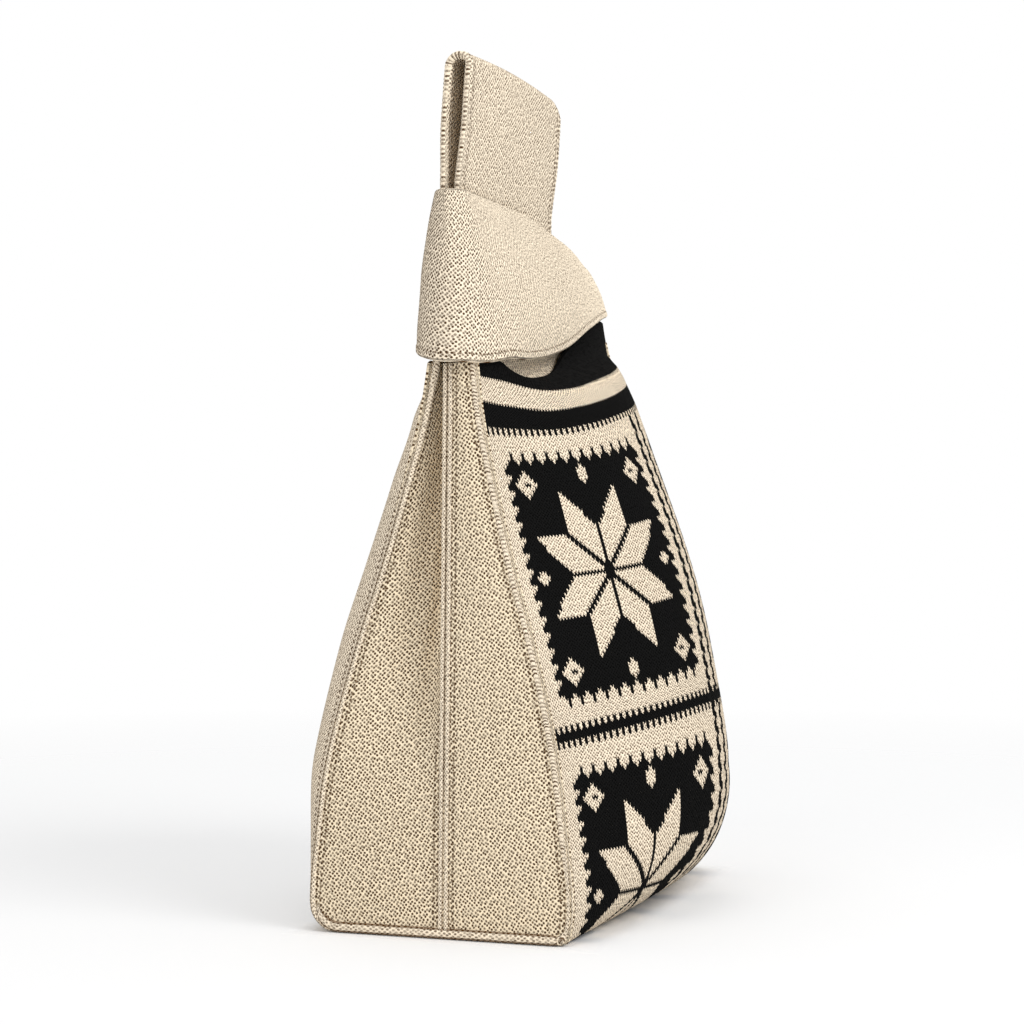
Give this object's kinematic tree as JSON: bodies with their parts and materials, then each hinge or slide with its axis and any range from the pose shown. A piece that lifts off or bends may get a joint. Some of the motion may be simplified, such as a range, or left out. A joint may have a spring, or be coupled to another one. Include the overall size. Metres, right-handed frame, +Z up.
{
  "type": "knitted knot bag",
  "caption": "Knitted knot bag: a wide long handle drawn up through the short handle, pleated gussets and a patterned strip for front, base and rear.",
  "frame": {"origin": "centre of the bag's footprint, on the surface it stands on", "axes": "+Z up, X along the bag's width with the near gusset at -X, the patterned front faces -Y"},
  "size_m": [0.217, 0.1717, 0.3548],
  "materials": {
    "jacquard_knit": "matte two-colour jacquard knit, beige on black",
    "black_knit": "matte black knit",
    "beige_knit": "matte beige yarn, plain stitches",
    "seam_knit": "matte beige yarn, ridged edge stitches"
  },
  "bodies": {
    "bag": {"front_panel": "jacquard_knit", "rear_panel": "jacquard_knit", "front_mouth_hem": "black_knit", "rear_mouth_hem": "black_knit", "base_panel": "jacquard_knit", "near_gusset_front_half": "beige_knit", "near_gusset_rear_half": "beige_knit", "near_gusset_centre_seam": "seam_knit", "near_front_corner_seam": "seam_knit", "near_rear_corner_seam": "seam_knit", "near_base_welt": "seam_knit", "far_gusset_front_half": "beige_knit", "far_gusset_rear_half": "beige_knit", "far_gusset_centre_seam": "seam_knit", "far_front_corner_seam": "seam_knit", "far_rear_corner_seam": "seam_knit", "far_base_welt": "seam_knit", "long_handle_front_tail": "beige_knit", "long_handle_rear_tail": "beige_knit", "short_handle_front_tail": "beige_knit", "short_handle_rear_tail": "beige_knit"},
    "long_handle": {"long_handle_loop": "beige_knit", "long_handle_near_hem": "seam_knit", "long_handle_far_hem": "seam_knit"},
    "short_handle": {"short_handle_collar": "beige_knit", "short_handle_lower_hem": "seam_knit", "short_handle_upper_hem": "seam_knit"}
  },
  "joints": [
    {"name": "long_handle_flop", "type": "hinge", "parent": "bag", "child": "long_handle", "pos_m": [0, 0.003, 0.314], "axis": [1, 0, 0], "range_deg": [-60, 60], "stiffness_Nm_per_rad": 0.03},
    {"name": "short_handle_lift", "type": "hinge", "parent": "bag", "child": "short_handle", "pos_m": [0.084, 0.003, 0.263], "axis": [0, 1, 0], "range_deg": [0, 4]}
  ]
}
